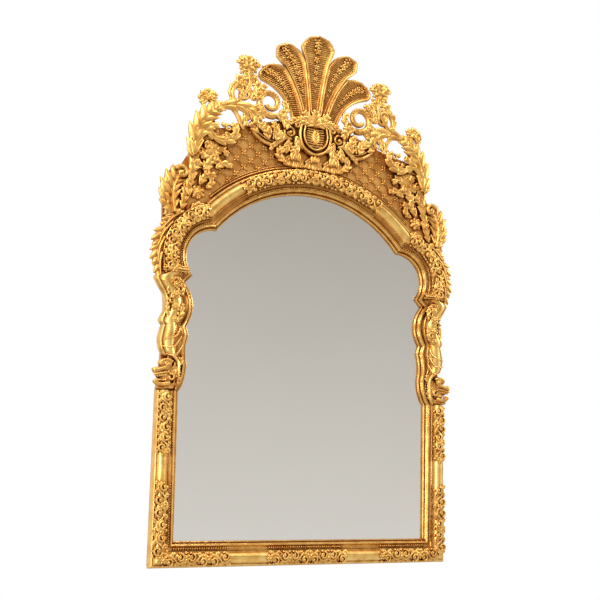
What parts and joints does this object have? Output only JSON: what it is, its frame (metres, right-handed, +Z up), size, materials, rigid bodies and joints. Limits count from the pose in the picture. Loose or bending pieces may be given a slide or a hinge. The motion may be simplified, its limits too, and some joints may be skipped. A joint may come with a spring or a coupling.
{
  "type": "overmantel mirror",
  "caption": "Tall wall mirror with an arched, waisted sight edge, a carved gilt frame, an openwork crest with a plumed fan, and turn buttons and hanging rings behind.",
  "frame": {"origin": "middle of the bottom rail, on its back face, half way up the front moulding's width", "axes": "+X to the viewer's right, +Y backwards into the wall, +Z up; the glass faces -Y"},
  "size_m": [0.992, 0.0716, 1.605],
  "materials": {
    "gilding": "carved pine with gesso, water gilded over red-brown bole, burnished on the plain stretches, rubbed and toned in the hollows",
    "carcass_pine": "planed softwood, aged brown, unfinished",
    "silvered_glass": "silvered plate glass, slightly grey",
    "brass_fittings": "lacquered brass, dulled with age",
    "felt_pads": "dense felt"
  },
  "bodies": {
    "frame": {"bottom_moulding": "gilding", "arch_moulding": "gilding", "crest_panel": "gilding", "fan_plume_middle": "gilding", "fan_leaf_cluster": "gilding", "cartouche": "gilding", "husk_drop_middle": "gilding", "lower_moulding_right": "gilding", "lower_moulding_left": "gilding", "swelling_moulding_right": "gilding", "swelling_moulding_left": "gilding", "console_moulding_right": "gilding", "console_moulding_left": "gilding", "ear_moulding_right": "gilding", "ear_moulding_left": "gilding", "fan_plume_inner_right": "gilding", "fan_plume_inner_left": "gilding", "fan_plume_outer_right": "gilding", "fan_plume_outer_left": "gilding", "husk_drop_right": "gilding", "husk_drop_left": "gilding", "cartouche_volute_right": "gilding", "cartouche_volute_left": "gilding", "crest_cradle_right": "gilding", "crest_cradle_left": "gilding", "crest_scroll_right": "gilding", "crest_scroll_left": "gilding", "crest_branch_right": "gilding", "crest_branch_left": "gilding", "shoulder_leaf_right": "gilding", "shoulder_leaf_left": "gilding", "shoulder_rosette_right": "gilding", "shoulder_rosette_left": "gilding", "ear_leaves_right": "gilding", "ear_leaves_left": "gilding", "beast_head_right": "gilding", "beast_head_left": "gilding", "carcass_bottom_rail": "carcass_pine", "carcass_stile_right": "carcass_pine", "carcass_stile_left": "carcass_pine", "carcass_head": "carcass_pine", "backboard_lower": "carcass_pine", "backboard_upper": "carcass_pine", "mirror_plate": "silvered_glass", "turn_button_screw_lower_right": "brass_fittings", "turn_button_screw_lower_left": "brass_fittings", "turn_button_screw_upper_right": "brass_fittings", "turn_button_screw_upper_left": "brass_fittings", "hanger_strap_right": "brass_fittings", "hanger_strap_left": "brass_fittings", "hanger_screw_right": "brass_fittings", "hanger_screw_left": "brass_fittings", "wall_bumper_right": "felt_pads", "wall_bumper_left": "felt_pads"},
    "turn_button_lower_right": {"turn_button_lower_right": "brass_fittings"},
    "turn_button_lower_left": {"turn_button_lower_left": "brass_fittings"},
    "turn_button_upper_right": {"turn_button_upper_right": "brass_fittings"},
    "turn_button_upper_left": {"turn_button_upper_left": "brass_fittings"},
    "hanger_ring_right": {"hanger_ring_right": "brass_fittings"},
    "hanger_ring_left": {"hanger_ring_left": "brass_fittings"}
  },
  "joints": [
    {"name": "turn_button_lower_right_pivot", "type": "hinge", "parent": "frame", "child": "turn_button_lower_right", "pos_m": [0.444, 0.0018, 0.145], "axis": [0, 1, 0], "range_deg": [-90, 90]},
    {"name": "turn_button_lower_left_pivot", "type": "hinge", "parent": "frame", "child": "turn_button_lower_left", "pos_m": [-0.444, 0.0018, 0.145], "axis": [0, 1, 0], "range_deg": [-90, 90]},
    {"name": "turn_button_upper_right_pivot", "type": "hinge", "parent": "frame", "child": "turn_button_upper_right", "pos_m": [0.444, 0.0018, 0.675], "axis": [0, 1, 0], "range_deg": [-90, 90]},
    {"name": "turn_button_upper_left_pivot", "type": "hinge", "parent": "frame", "child": "turn_button_upper_left", "pos_m": [-0.444, 0.0018, 0.675], "axis": [0, 1, 0], "range_deg": [-90, 90]},
    {"name": "hanger_ring_right_pivot", "type": "hinge", "parent": "frame", "child": "hanger_ring_right", "pos_m": [0.35, 0.0041, 0.975], "axis": [1, 0, 0], "range_deg": [0, 150]},
    {"name": "hanger_ring_left_pivot", "type": "hinge", "parent": "frame", "child": "hanger_ring_left", "pos_m": [-0.35, 0.0041, 0.975], "axis": [1, 0, 0], "range_deg": [0, 150]}
  ]
}
